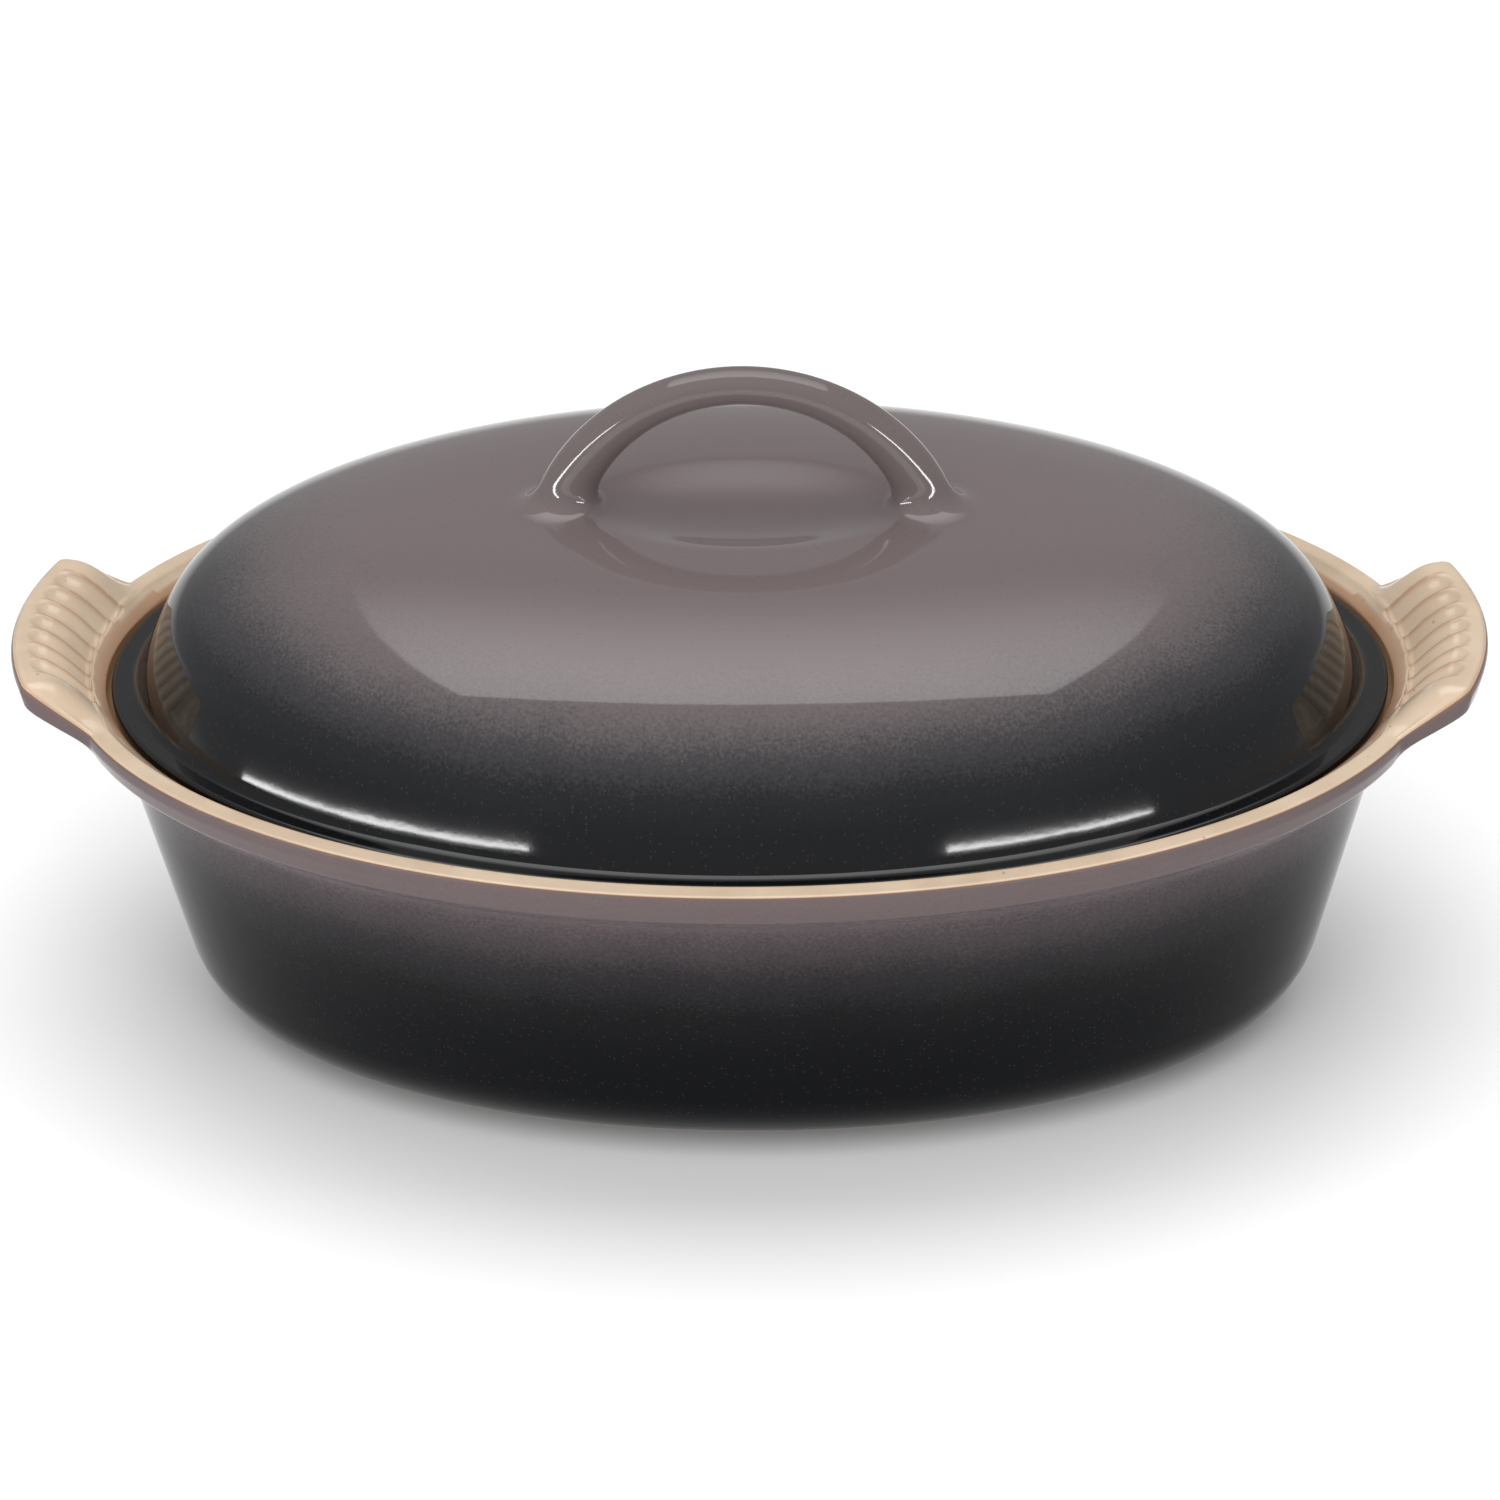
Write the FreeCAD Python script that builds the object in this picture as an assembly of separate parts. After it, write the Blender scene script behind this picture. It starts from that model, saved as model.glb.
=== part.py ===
import FreeCAD, Part
import math
import os
from FreeCAD import Vector

# Covered oval casserole dish: a stoneware dish with two fluted grips, and a domed lid with an arched handle.
# Millimetres, +Z up, +X along the grips. The origin is the middle of the dish's footprint.
# Every wall is described by insets: how far an oval lies inside the rim's outer edge.

# Dish body
RIM_HALF_X = 180.0          # outer edge of the rim, half of its length
RIM_HALF_Y = 118.5          # outer edge of the rim, half of its width
RIM_Z = 102.4               # flat top of the rim
RIM_FLAT = 5.5              # width of the flat top
RIM_EDGE = 1.0              # chamfer of the rim's edges
CREASE_INSET = 12.8         # soft crease where the band meets the wall
CREASE_Z = 85.6
BAND_TURN = [(3.2, 92.4), (0.9, 95.8), (0.0, 99.0)]     # the band rounds from its underside to its face
WALL_TAPER = math.radians(13.4)
CORNER_R = 28.8             # outside corner between wall and base
BASE_Z = 1.6                # underside of the base inside the foot ring
FLOOR_Z = 9.0               # inside floor
INNER_CORNER_R = 22.0

# Gallery: the sunken ledge that carries the lid
LEDGE_Z = 94.5
LEDGE_INNER_INSET = 20.5
GALLERY_HALF_X = 169.6      # foot of the gallery's wall
GALLERY_HALF_Y = 110.4
GALLERY_BEND_Z = 98.6       # above this the gallery's wall flares out to the rim

# Foot ring
FOOT_OUTER_INSET = 50.0
FOOT_WIDTH = 7.0
FOOT_EDGE = 0.8

# Grips: half of the right grip's plan, from the tip to where it has run into the rim
GRIP_PLAN = [(194.2, 0.0), (191.6, 21.0), (187.0, 33.5), (178.6, 38.2), (168.0, 41.5), (146.0, 46.0)]
GRIP_TOP_Z = 113.6
GRIP_THICK = 6.8
GRIP_ROOT_X = 140.0         # inside the dish, where the grip is cut off
GRIP_KNEE_X = 164.0         # the top leaves the rim's height here
GRIP_CROWN = (177.5, 109.6)             # x and z half-way up the sweep of the top
GRIP_TOP_X = 187.5          # outer end of the sweep
GRIP_LIP_X = 191.5          # the rounded lip starts here
GRIP_LIP_DROP = 0.6
GRIP_LOW_X = 190.5
GRIP_UNDER = (179.0, 99.5)              # x and z on the hollow underside
GRIP_FOOT = (168.5, 87.6)               # the underside meets the wall here
FLUTES = 7
FLUTE_PITCH = 7.4
FLUTE_R = 5.2
FLUTE_DEPTH = 1.0
FLUTE_START = (168.0, 104.6)            # x and z of the flutes' inner ends
FLUTE_END_X = 187.0

# Lid
SEAT_GAP = 0.3              # air between the lid's seat and the ledge
LID_HALF_X = 168.2          # outer edge of the lid
LID_HALF_Y = 109.0
FLANGE_TOP_Z = 99.3
FLANGE_EDGE_R = 1.2
COVE_R = 8.0                # hollow curve between the flange and the dome
COVE_INSET = 11.9           # where the cove has turned upright
DOME_HALF_X = 156.8
DOME_HALF_Y = 97.6
DOME_BASE_Z = 97.5
DOME_TOP_Z = 149.3
DOME_SPREAD = 3.35          # the higher, the flatter the dome's crown
DOME_ROUND = 2.75           # the higher, the steeper the dome's foot
DOME_STEPS = 16             # points on the dome's curve
LID_WALL = 5.5

# Finger recess in the crown, below the handle
RECESS_HALF_X = 40.0
RECESS_HALF_Y = 23.0
RECESS_DEPTH = 4.5
RECESS_CENTRE_RISE = 6.0

# Handle: its outline is the band between two arcs
HANDLE_OUTER_R = 59.0
HANDLE_OUTER_Z = 129.1      # height of the outer arc's centre
HANDLE_INNER_R = 42.0
HANDLE_INNER_Z = 136.2
HANDLE_DEPTH = 9.6          # thickness front to back at the top
HANDLE_FOOT_DEPTH = 14.5
HANDLE_FLARE = 3            # the higher, the nearer to the feet the handle widens
HANDLE_SWEEP = math.radians(76.0)   # each leg runs this far down from the top, into the dome
HANDLE_STEPS = 8            # sections from the top to each foot
HANDLE_SIDES = 20

ARC_STEPS = 7


def oval(half_x, half_y, z):
    """A closed elliptical wire at height z."""
    ellipse = Part.Ellipse(Vector(0, 0, z), half_x, half_y)
    return Part.Wire(ellipse.toShape())


def rim_oval(inset, z):
    """An oval that lies inside the rim's outer edge by inset all the way round."""
    return oval(RIM_HALF_X - inset, RIM_HALF_Y - inset, z)


def stack(wires):
    """A solid whose side runs straight from each oval to the next."""
    return Part.makeLoft(wires, True, True)


def corner_levels(start_inset, start_z, bottom_z, radius):
    """Insets and heights down a tapered wall and round the corner to bottom_z."""
    corner_z = bottom_z + radius * (1.0 - math.sin(WALL_TAPER))
    corner_inset = start_inset + (start_z - corner_z) * math.tan(WALL_TAPER)
    centre_inset = corner_inset + radius * math.cos(WALL_TAPER)
    levels = [(start_inset, start_z)]
    for step in range(ARC_STEPS + 1):
        angle = WALL_TAPER + (math.pi / 2 - WALL_TAPER) * step / ARC_STEPS
        inset = centre_inset - radius * math.cos(angle)
        levels.append((inset, bottom_z + radius * (1.0 - math.sin(angle))))
    return levels


def make_dish_bowl():
    """Tapered wall, rounded base corner and floor, up to the crease under the band."""
    outer = corner_levels(CREASE_INSET, CREASE_Z, 0.0, CORNER_R)
    body = stack([rim_oval(inset, z) for inset, z in outer])
    below = Part.makeBox(4 * RIM_HALF_X, 4 * RIM_HALF_Y, BASE_Z,
                         Vector(-2 * RIM_HALF_X, -2 * RIM_HALF_Y, 0))
    inner = corner_levels(LEDGE_INNER_INSET, CREASE_Z, FLOOR_Z, INNER_CORNER_R)
    cavity = stack([rim_oval(inset, z) for inset, z in inner])
    return body.cut(below).cut(cavity)


def make_foot_ring():
    """The bare ring that the dish stands on."""
    inner_inset = FOOT_OUTER_INSET + FOOT_WIDTH
    outer = stack([rim_oval(FOOT_OUTER_INSET + FOOT_EDGE, 0),
                   rim_oval(FOOT_OUTER_INSET, FOOT_EDGE),
                   rim_oval(FOOT_OUTER_INSET, BASE_Z)])
    hole = stack([rim_oval(inner_inset, 0), rim_oval(inner_inset, BASE_Z)])
    return outer.cut(hole)


def make_dish_rim():
    """The band outside and the gallery inside, from the crease to the flat top."""
    band = [rim_oval(inset, z) for inset, z in BAND_TURN]
    body = stack([rim_oval(CREASE_INSET, CREASE_Z), *band,
                  rim_oval(0.0, RIM_Z - RIM_EDGE),
                  rim_oval(RIM_EDGE, RIM_Z)])
    flare = stack([oval(GALLERY_HALF_X, GALLERY_HALF_Y, LEDGE_Z),
                   oval(GALLERY_HALF_X, GALLERY_HALF_Y, GALLERY_BEND_Z),
                   rim_oval(RIM_FLAT + RIM_EDGE / 2, RIM_Z - RIM_EDGE / 2),
                   rim_oval(RIM_FLAT - RIM_EDGE / 2, RIM_Z + RIM_EDGE / 2)])
    throat = stack([rim_oval(LEDGE_INNER_INSET, CREASE_Z), rim_oval(LEDGE_INNER_INSET, LEDGE_Z)])
    return body.cut(flare).cut(throat)


def grip_outline():
    """Plan of the right grip: a blunt shell that flares into the rim at its root."""
    points = [Vector(x, -y, 0) for x, y in reversed(GRIP_PLAN[1:])]
    points += [Vector(x, y, 0) for x, y in GRIP_PLAN]
    edge = Part.BSplineCurve()
    edge.interpolate(points)
    root = Part.makeLine(points[-1], points[0])
    return Part.Face(Part.Wire([edge.toShape(), root]))


def grip_slab():
    """Side view of the right grip, drawn from the rim outwards, as a slab as wide as the dish."""
    tip_x = GRIP_PLAN[0][0]
    top_in = Vector(GRIP_ROOT_X, 0, RIM_Z)
    top_knee = Vector(GRIP_KNEE_X, 0, RIM_Z)
    crown = Vector(GRIP_CROWN[0], 0, GRIP_CROWN[1])
    top_out = Vector(GRIP_TOP_X, 0, GRIP_TOP_Z)
    lip_top = Vector(GRIP_LIP_X, 0, GRIP_TOP_Z - GRIP_LIP_DROP)
    tip = Vector(tip_x, 0, GRIP_TOP_Z - GRIP_THICK / 2)
    lip_low = Vector(GRIP_LOW_X, 0, GRIP_TOP_Z - GRIP_THICK)
    under = Vector(GRIP_UNDER[0], 0, GRIP_UNDER[1])
    foot = Vector(GRIP_FOOT[0], 0, GRIP_FOOT[1])
    low_in = Vector(GRIP_ROOT_X, 0, GRIP_FOOT[1])
    edges = [Part.makeLine(top_in, top_knee),
             Part.Arc(top_knee, crown, top_out).toShape(),
             Part.makeLine(top_out, lip_top),
             Part.Arc(lip_top, tip, lip_low).toShape(),
             Part.Arc(lip_low, under, foot).toShape(),
             Part.makeLine(foot, low_in),
             Part.makeLine(low_in, top_in)]
    face = Part.Face(Part.Wire(edges))
    face.translate(Vector(0, -RIM_HALF_Y, 0))
    return face.extrude(Vector(0, 2 * RIM_HALF_Y, 0))


def make_right_grip(dish_core):
    """A shell grip with hollow flutes across its top, standing out from the rim."""
    prism = grip_outline().extrude(Vector(0, 0, 2 * RIM_Z))
    grip = prism.common(grip_slab()).cut(dish_core)
    inner_end = Vector(FLUTE_START[0], 0, FLUTE_START[1])
    outer_end = Vector(FLUTE_END_X, 0, GRIP_TOP_Z)
    run = outer_end.sub(inner_end)
    lift = FLUTE_R - FLUTE_DEPTH
    flutes = []
    for index in range(FLUTES):
        y = (index - (FLUTES - 1) / 2) * FLUTE_PITCH
        start = inner_end.add(Vector(0, y, lift))
        bar = Part.makeCylinder(FLUTE_R, run.Length, start, run)
        knob = Part.makeSphere(FLUTE_R, start.add(run))
        flutes.append(bar.fuse(knob))
    return grip.cut(flutes)


def dome_solid(half_x, half_y, base_z, top_z):
    """A filled dome with a flat crown and a steep foot, round in plan and then squeezed to an oval."""
    height = top_z - base_z
    points = []
    for step in range(DOME_STEPS + 1):
        angle = math.pi / 2 * step / DOME_STEPS
        radius = math.sin(angle) ** (2.0 / DOME_SPREAD)
        rise = math.cos(angle) ** (2.0 / DOME_ROUND)
        points.append(Vector(half_x * radius, 0, height * rise))
    curve = Part.BSplineCurve()
    curve.interpolate(points)
    axis_top = points[0]
    foot = points[-1]
    centre = Vector(0, 0, 0)
    floor_line = Part.makeLine(foot, centre)
    axis_line = Part.makeLine(centre, axis_top)
    face = Part.Face(Part.Wire([curve.toShape(), floor_line, axis_line]))
    round_dome = face.revolve(centre, Vector(0, 0, 1), 360)
    squeeze = FreeCAD.Matrix()
    squeeze.scale(Vector(1.0, half_y / half_x, 1.0))
    dome = round_dome.transformGeometry(squeeze)
    dome.translate(Vector(0, 0, base_z))
    return dome


def recess_solid(extra):
    """The ellipsoid that hollows the crown for the fingers, grown by extra."""
    depth = RECESS_CENTRE_RISE + RECESS_DEPTH
    reach = math.sqrt(1.0 - (RECESS_CENTRE_RISE / depth) ** 2)
    ball = Part.makeSphere(1.0)
    stretch = FreeCAD.Matrix()
    stretch.scale(Vector(RECESS_HALF_X / reach + extra, RECESS_HALF_Y / reach + extra, depth + extra))
    hollow = ball.transformGeometry(stretch)
    hollow.translate(Vector(0, 0, DOME_TOP_Z + RECESS_CENTRE_RISE))
    return hollow


def lid_cavity():
    """The room under the dome, with the bulge that the finger recess makes in it."""
    dome = dome_solid(DOME_HALF_X - LID_WALL, DOME_HALF_Y - LID_WALL, DOME_BASE_Z, DOME_TOP_Z - LID_WALL)
    return dome.cut(recess_solid(LID_WALL))


def make_lid_dome(dome_skin, cavity):
    """The lid's shell above the cove."""
    span = 4 * RIM_HALF_X
    below = Part.makeBox(span, span, FLANGE_TOP_Z + COVE_R, Vector(-span / 2, -span / 2, 0))
    return dome_skin.cut(below).cut(cavity)


def make_lid_flange():
    """The rounded edge of the lid, with its flat seat below, a cove above and a straight mouth."""
    seat_z = LEDGE_Z + SEAT_GAP
    outline = [(FLANGE_EDGE_R, seat_z), (0.0, seat_z + FLANGE_EDGE_R), (0.0, FLANGE_TOP_Z - FLANGE_EDGE_R),
               (FLANGE_EDGE_R, FLANGE_TOP_Z)]
    for step in range(ARC_STEPS + 1):
        angle = math.pi / 2 * step / ARC_STEPS
        inset = COVE_INSET - COVE_R * (1.0 - math.sin(angle))
        outline.append((inset, FLANGE_TOP_Z + COVE_R * (1.0 - math.cos(angle))))
    body = stack([oval(LID_HALF_X - inset, LID_HALF_Y - inset, z) for inset, z in outline])
    mouth_x = DOME_HALF_X - LID_WALL
    mouth_y = DOME_HALF_Y - LID_WALL
    mouth = stack([oval(mouth_x, mouth_y, LEDGE_Z), oval(mouth_x, mouth_y, FLANGE_TOP_Z + 2 * COVE_R)])
    return body.cut(mouth)


def handle_section(angle):
    """One oval section of the handle; angle 0 is its top and grows towards a foot."""
    direction = Vector(math.sin(angle), 0, math.cos(angle))
    outer = Vector(0, 0, HANDLE_OUTER_Z).add(direction * HANDLE_OUTER_R)
    inner = Vector(0, 0, HANDLE_INNER_Z).add(direction * HANDLE_INNER_R)
    centre = (outer + inner) * 0.5
    half_across = (outer - inner) * 0.5
    footness = (abs(angle) / HANDLE_SWEEP) ** HANDLE_FLARE
    depth = HANDLE_DEPTH + (HANDLE_FOOT_DEPTH - HANDLE_DEPTH) * footness
    half_front = Vector(0, depth / 2, 0)
    corners = []
    for side in range(HANDLE_SIDES + 1):
        turn = 2 * math.pi * side / HANDLE_SIDES
        corners.append(centre + half_across * math.cos(turn) + half_front * math.sin(turn))
    return Part.makePolygon(corners)


def make_lid_handle(dome_skin):
    """The arch, cut off where its legs meet the dome."""
    sections = []
    for step in range(-HANDLE_STEPS, HANDLE_STEPS + 1):
        sections.append(handle_section(HANDLE_SWEEP * step / HANDLE_STEPS))
    arch = Part.makeLoft(sections, True, False)
    return arch.cut(dome_skin)


def save(name, shape):
    """Write one node and print what it measures."""
    box = shape.BoundBox
    print(f"{name}: solids {len(shape.Solids)}, valid {shape.isValid()}, "
          f"volume {shape.Volume / 1000:.1f} cm3, "
          f"x {box.XMin:.1f} to {box.XMax:.1f}, y {box.YMin:.1f} to {box.YMax:.1f}, "
          f"z {box.ZMin:.1f} to {box.ZMax:.1f}")
    shape.exportStep(f"parts/{name}.step")


def main():
    os.makedirs("parts", exist_ok=True)
    bowl = make_dish_bowl()
    rim = make_dish_rim()
    flat_core = stack([rim_oval(0.0, CREASE_Z), rim_oval(0.0, RIM_Z)])
    right_grip = make_right_grip(flat_core)
    left_grip = right_grip.mirror(Vector(0, 0, 0), Vector(1, 0, 0))
    dome_skin = dome_solid(DOME_HALF_X, DOME_HALF_Y, DOME_BASE_Z, DOME_TOP_Z).cut(recess_solid(0.0))
    save("dish_bowl", bowl)
    save("dish_rim", rim)
    save("foot_ring", make_foot_ring())
    save("right_grip", right_grip)
    save("left_grip", left_grip)
    cavity = lid_cavity()
    save("lid_dome", make_lid_dome(dome_skin, cavity))
    save("lid_flange", make_lid_flange())
    save("lid_handle", make_lid_handle(dome_skin))


main()
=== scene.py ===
# %% [markdown]
# # A covered oval casserole dish in glazed stoneware
# The dish is one fired piece: an oval body with a band round its mouth, two shell-shaped grips with
# hollow flutes, and a sunken ledge that carries the lid. The lid is the other fired piece: a domed
# shell with an arched handle over a shallow hollow for the fingers.
# The CAD model gives every size. Here each piece is rebuilt as a smooth, closed mesh with its glaze.

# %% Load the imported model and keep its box
import math
import bmesh
import bpy
import numpy as np
from mathutils import Matrix, Vector
from mathutils.geometry import delaunay_2d_cdt


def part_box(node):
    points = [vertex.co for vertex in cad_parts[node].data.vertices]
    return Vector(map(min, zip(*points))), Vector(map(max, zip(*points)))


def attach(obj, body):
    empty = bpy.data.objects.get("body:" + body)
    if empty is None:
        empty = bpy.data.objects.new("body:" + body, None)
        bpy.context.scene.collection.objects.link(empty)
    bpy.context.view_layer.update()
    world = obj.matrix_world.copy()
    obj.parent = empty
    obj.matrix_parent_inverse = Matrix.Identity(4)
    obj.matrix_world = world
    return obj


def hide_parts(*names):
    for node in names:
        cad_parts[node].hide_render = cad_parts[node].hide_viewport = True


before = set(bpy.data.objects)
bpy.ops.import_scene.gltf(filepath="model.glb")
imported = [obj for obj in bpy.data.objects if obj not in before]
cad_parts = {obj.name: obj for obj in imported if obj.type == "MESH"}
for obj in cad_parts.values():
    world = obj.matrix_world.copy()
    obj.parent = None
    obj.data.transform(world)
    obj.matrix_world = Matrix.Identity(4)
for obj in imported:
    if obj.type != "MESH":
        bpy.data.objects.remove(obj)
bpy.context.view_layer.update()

# %% [markdown]
# ## Driving sizes
# Clay work is measured in millimetres, so every helper works in millimetres and the mesh builder
# divides by a thousand at the end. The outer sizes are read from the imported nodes. The rest are
# insets, which say how far a line of the section lies inside the rim's outer edge.

# %% Sizes of the dish and the lid
MM = 0.001


def node_half(node):
    """Half length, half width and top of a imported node, in millimetres."""
    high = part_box(node)[1]
    return high.x / MM, high.y / MM, high.z / MM


RIM_X, RIM_Y, _ = node_half("dish_rim")
LID_X, LID_Y, _ = node_half("lid_flange")
DOME_INSET = 11.4
DOME_X, DOME_Y = LID_X - DOME_INSET, LID_Y - DOME_INSET
DOME_TOP = node_half("lid_dome")[2]
GRIP_X, _, GRIP_TOP = node_half("right_grip")
HANDLE_TOP = node_half("lid_handle")[2]
RIM_Z = 102.4
SEAT_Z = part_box("lid_flange")[0].z / MM
print(f"rim {RIM_X:.1f} x {RIM_Y:.1f}, lid {LID_X:.1f} x {LID_Y:.1f}, dome top {DOME_TOP:.1f}, "
      f"grip {GRIP_X:.1f} at {GRIP_TOP:.1f}, handle top {HANDLE_TOP:.1f}")

# %% [markdown]
# ## Helpers for thrown and pressed shapes
# An oval pot is its section carried round an oval. So the main helper is a grid of points: one
# column for each angle round the oval, and one row for each point of the section. A closed grid
# with a pole at each end makes a watertight skin with evenly flowing quads, which shows glossy
# highlights without dents. A section is drawn as a few corners, each rounded with its own radius.

# %% Smooth steps and rounded sections


def smoothstep(low, high, value):
    """0 below low, 1 above high and an even S-curve between."""
    step = np.clip((np.asarray(value, dtype=float) - low) / (high - low), 0.0, 1.0)
    return step * step * (3.0 - 2.0 * step)


def rounded_section(corners, arc_points=7, run_points=3):
    """Points along (inset, z, radius) corners; each inner corner becomes a true arc."""
    places = [np.array(corner[:2], dtype=float) for corner in corners]
    pieces = [[places[0]]]
    for index in range(1, len(corners) - 1):
        corner = places[index]
        back = places[index - 1] - corner
        ahead = places[index + 1] - corner
        back_unit = back / np.linalg.norm(back)
        ahead_unit = ahead / np.linalg.norm(ahead)
        half_angle = 0.5 * math.acos(float(np.clip(back_unit @ ahead_unit, -1.0, 1.0)))
        reach = corners[index][2] / math.tan(half_angle)
        start = corner + back_unit * reach
        end = corner + ahead_unit * reach
        weight = math.sin(half_angle)
        arc = []
        for s in np.linspace(0.0, 1.0, arc_points):
            pull = 2.0 * weight * s * (1.0 - s)
            total = (1.0 - s) ** 2 + pull + s * s
            arc.append(((1.0 - s) ** 2 * start + pull * corner + s * s * end) / total)
        pieces.append(arc)
    pieces.append([places[-1]])
    points = []
    for piece, following in zip(pieces, pieces[1:]):
        points.extend(piece)
        for step in range(1, run_points + 1):
            points.append(piece[-1] + (following[0] - piece[-1]) * step / (run_points + 1))
    points.extend(pieces[-1])
    return np.array(points)


# %% Grids that become closed meshes


def pole_grid(rows, first_pole, last_pole):
    """Points and faces of a closed skin: rows of equal length between two single points."""
    columns = len(rows[0])
    points = np.concatenate([np.concatenate(rows), [first_pole, last_pole]])
    faces = []
    column = np.arange(columns)
    beside = (column + 1) % columns
    for row in range(len(rows) - 1):
        low = row * columns
        high = low + columns
        faces.extend(np.stack([low + column, low + beside, high + beside, high + column], 1).tolist())
    first = len(rows) * columns
    last_row = first - columns
    faces.extend(np.stack([np.full(columns, first), beside, column], 1).tolist())
    faces.extend(np.stack([np.full(columns, first + 1), last_row + column, last_row + beside], 1).tolist())
    return points, faces


def ring_grid(rows):
    """Points and faces of a closed ring: the last row joins the first."""
    columns = len(rows[0])
    faces = []
    column = np.arange(columns)
    beside = (column + 1) % columns
    for row in range(len(rows)):
        low = row * columns
        high = (row + 1) % len(rows) * columns
        faces.extend(np.stack([low + column, low + beside, high + beside, high + column], 1).tolist())
    return np.concatenate(rows), faces


def make_piece(name, points, faces, body, replaced=()):
    """A smooth mesh object from millimetre points, with its faces turned outwards."""
    mesh = bpy.data.meshes.new(name)
    mesh.from_pydata((np.asarray(points) * MM).tolist(), [], faces)
    work = bmesh.new()
    work.from_mesh(mesh)
    bmesh.ops.recalc_face_normals(work, faces=work.faces)
    if work.calc_volume(signed=True) < 0.0:
        bmesh.ops.reverse_faces(work, faces=work.faces)
    open_edges = sum(1 for edge in work.edges if not edge.is_manifold)
    work.to_mesh(mesh)
    work.free()
    mesh.shade_smooth()
    piece = bpy.data.objects.new(name, mesh)
    bpy.context.collection.objects.link(piece)
    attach(piece, body)
    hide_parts(*replaced)
    print(f"{name}: {len(mesh.vertices)} points, {len(mesh.polygons)} faces, {open_edges} open edges")
    return piece


def store_mask(piece, name, values):
    """Keep one number a point on the mesh, for the glaze to read."""
    layer = piece.data.attributes.new(name, "FLOAT", "POINT")
    layer.data.foreach_set("value", np.asarray(values, dtype=np.float32))


# %% [markdown]
# ## Angles round the dish
# The flutes on the grips are only a few millimetres wide, while the rest of the rim is one long
# smooth curve. So the columns are packed closely at the two ends and spread out elsewhere. The
# spacing is added up along the oval and cut into equal shares, which keeps the change gradual.

# %% Columns round the oval
FLUTE_SPACING = 0.0042
PLAIN_SPACING = 0.021
GRIP_REACH = 0.5
GRIP_FULL = 0.255
GRIP_END = 0.355


def end_angle(angle):
    """How far an angle is from the nearer end of the oval."""
    return np.abs((angle + math.pi / 2) % math.pi - math.pi / 2)


fine = np.linspace(0.0, 2.0 * math.pi, 40001)
spacing = FLUTE_SPACING + (PLAIN_SPACING - FLUTE_SPACING) * smoothstep(GRIP_REACH - 0.1, GRIP_REACH + 0.4,
                                                                       end_angle(fine))
shares = np.concatenate([[0.0], np.cumsum(0.5 * (1 / spacing[1:] + 1 / spacing[:-1]) * np.diff(fine))])
dish_columns = int(shares[-1] // 4 * 4)
dish_angle = np.interp(np.arange(dish_columns) * shares[-1] / dish_columns, shares, fine)
grip = 1.0 - smoothstep(GRIP_FULL, GRIP_END, end_angle(dish_angle))
print(f"{dish_columns} columns, {np.count_nonzero(grip > 0)} of them on the grips")

# %% [markdown]
# ## The section of the dish
# Two sections are drawn with the same number of points: a plain one, and one through the middle of
# a grip. Every column uses a mix of the two, so the grips grow out of the band with the soft flare
# that pressed clay has. The glaze changes colour at the outer top edge, so the list of rows is cut
# there: below it is the dark outer skin, and above it the cream lining.

# %% Rows of the outer skin
BASE_Z = 1.6
CREASE = (12.8, 85.6)
TAPER = math.tan(math.radians(13.4))
FOOT_CENTRE_INSET = 60.0
SKIN_ARC = 9
SKIN_RUN = 4
GRIP_OUT = GRIP_X - RIM_X

wall_foot = (CREASE[0] + (CREASE[1] - BASE_Z) * TAPER, BASE_Z)
plain_skin = rounded_section([(FOOT_CENTRE_INSET, BASE_Z), (*wall_foot, 27.5), (*CREASE, 9.0),
                              (2.4, 93.2, 6.5), (0.0, 99.0, 4.0), (0.0, RIM_Z, 1.1), (3.0, RIM_Z)],
                             arc_points=SKIN_ARC, run_points=SKIN_RUN)
grip_skin = rounded_section([(FOOT_CENTRE_INSET, BASE_Z), (*wall_foot, 27.5), (*CREASE, 6.0),
                             (3.0, 97.5, 9.0), (1.6 - GRIP_OUT, GRIP_TOP - 7.6, 2.4),
                             (-GRIP_OUT, GRIP_TOP, 2.6), (4.0 - GRIP_OUT, GRIP_TOP)],
                            arc_points=SKIN_ARC, run_points=SKIN_RUN)


def at_inset(inset_x, inset_y, z):
    """A row of points round the dish at an inset from the rim's edge."""
    return np.stack([(RIM_X - inset_x) * np.cos(dish_angle), (RIM_Y - inset_y) * np.sin(dish_angle),
                     np.broadcast_to(z, dish_angle.shape)], 1)


skin_mix = [plain * (1 - grip[:, None]) + held * grip[:, None] for plain, held in zip(plain_skin, grip_skin)]
edge_row = len(plain_skin) - 1 - SKIN_RUN - (SKIN_ARC + 1) // 2
print("outer skin:", len(skin_mix), "rows, the glaze changes at row", edge_row)

# %% [markdown]
# ## Grip tops with their flutes
# From the outer edge inwards, the top of a grip is first a smooth raised border and then slopes down
# to the ledge. Seven hollow flutes are scooped out of the slope. Their sides meet in sharp ridges,
# and each one ends in a rounded tip at the border. A scoop is a parabola across the flute, and it
# runs out to nothing along a second parabola at the tip.

# %% Height of the cream top
RIM_FLAT = 5.5
GRIP_EDGE = 6.8
FLUTES = 7
FLUTE_PITCH = 7.4
FLUTE_DEPTH = 2.1
FLUTE_TIP = 14.6
FLUTE_TIP_ROUND = 3.6
FLUTE_FAN = 0.05
EDGE_LIFT = 1.2
SLOPE_RUN = 14.0


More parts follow.
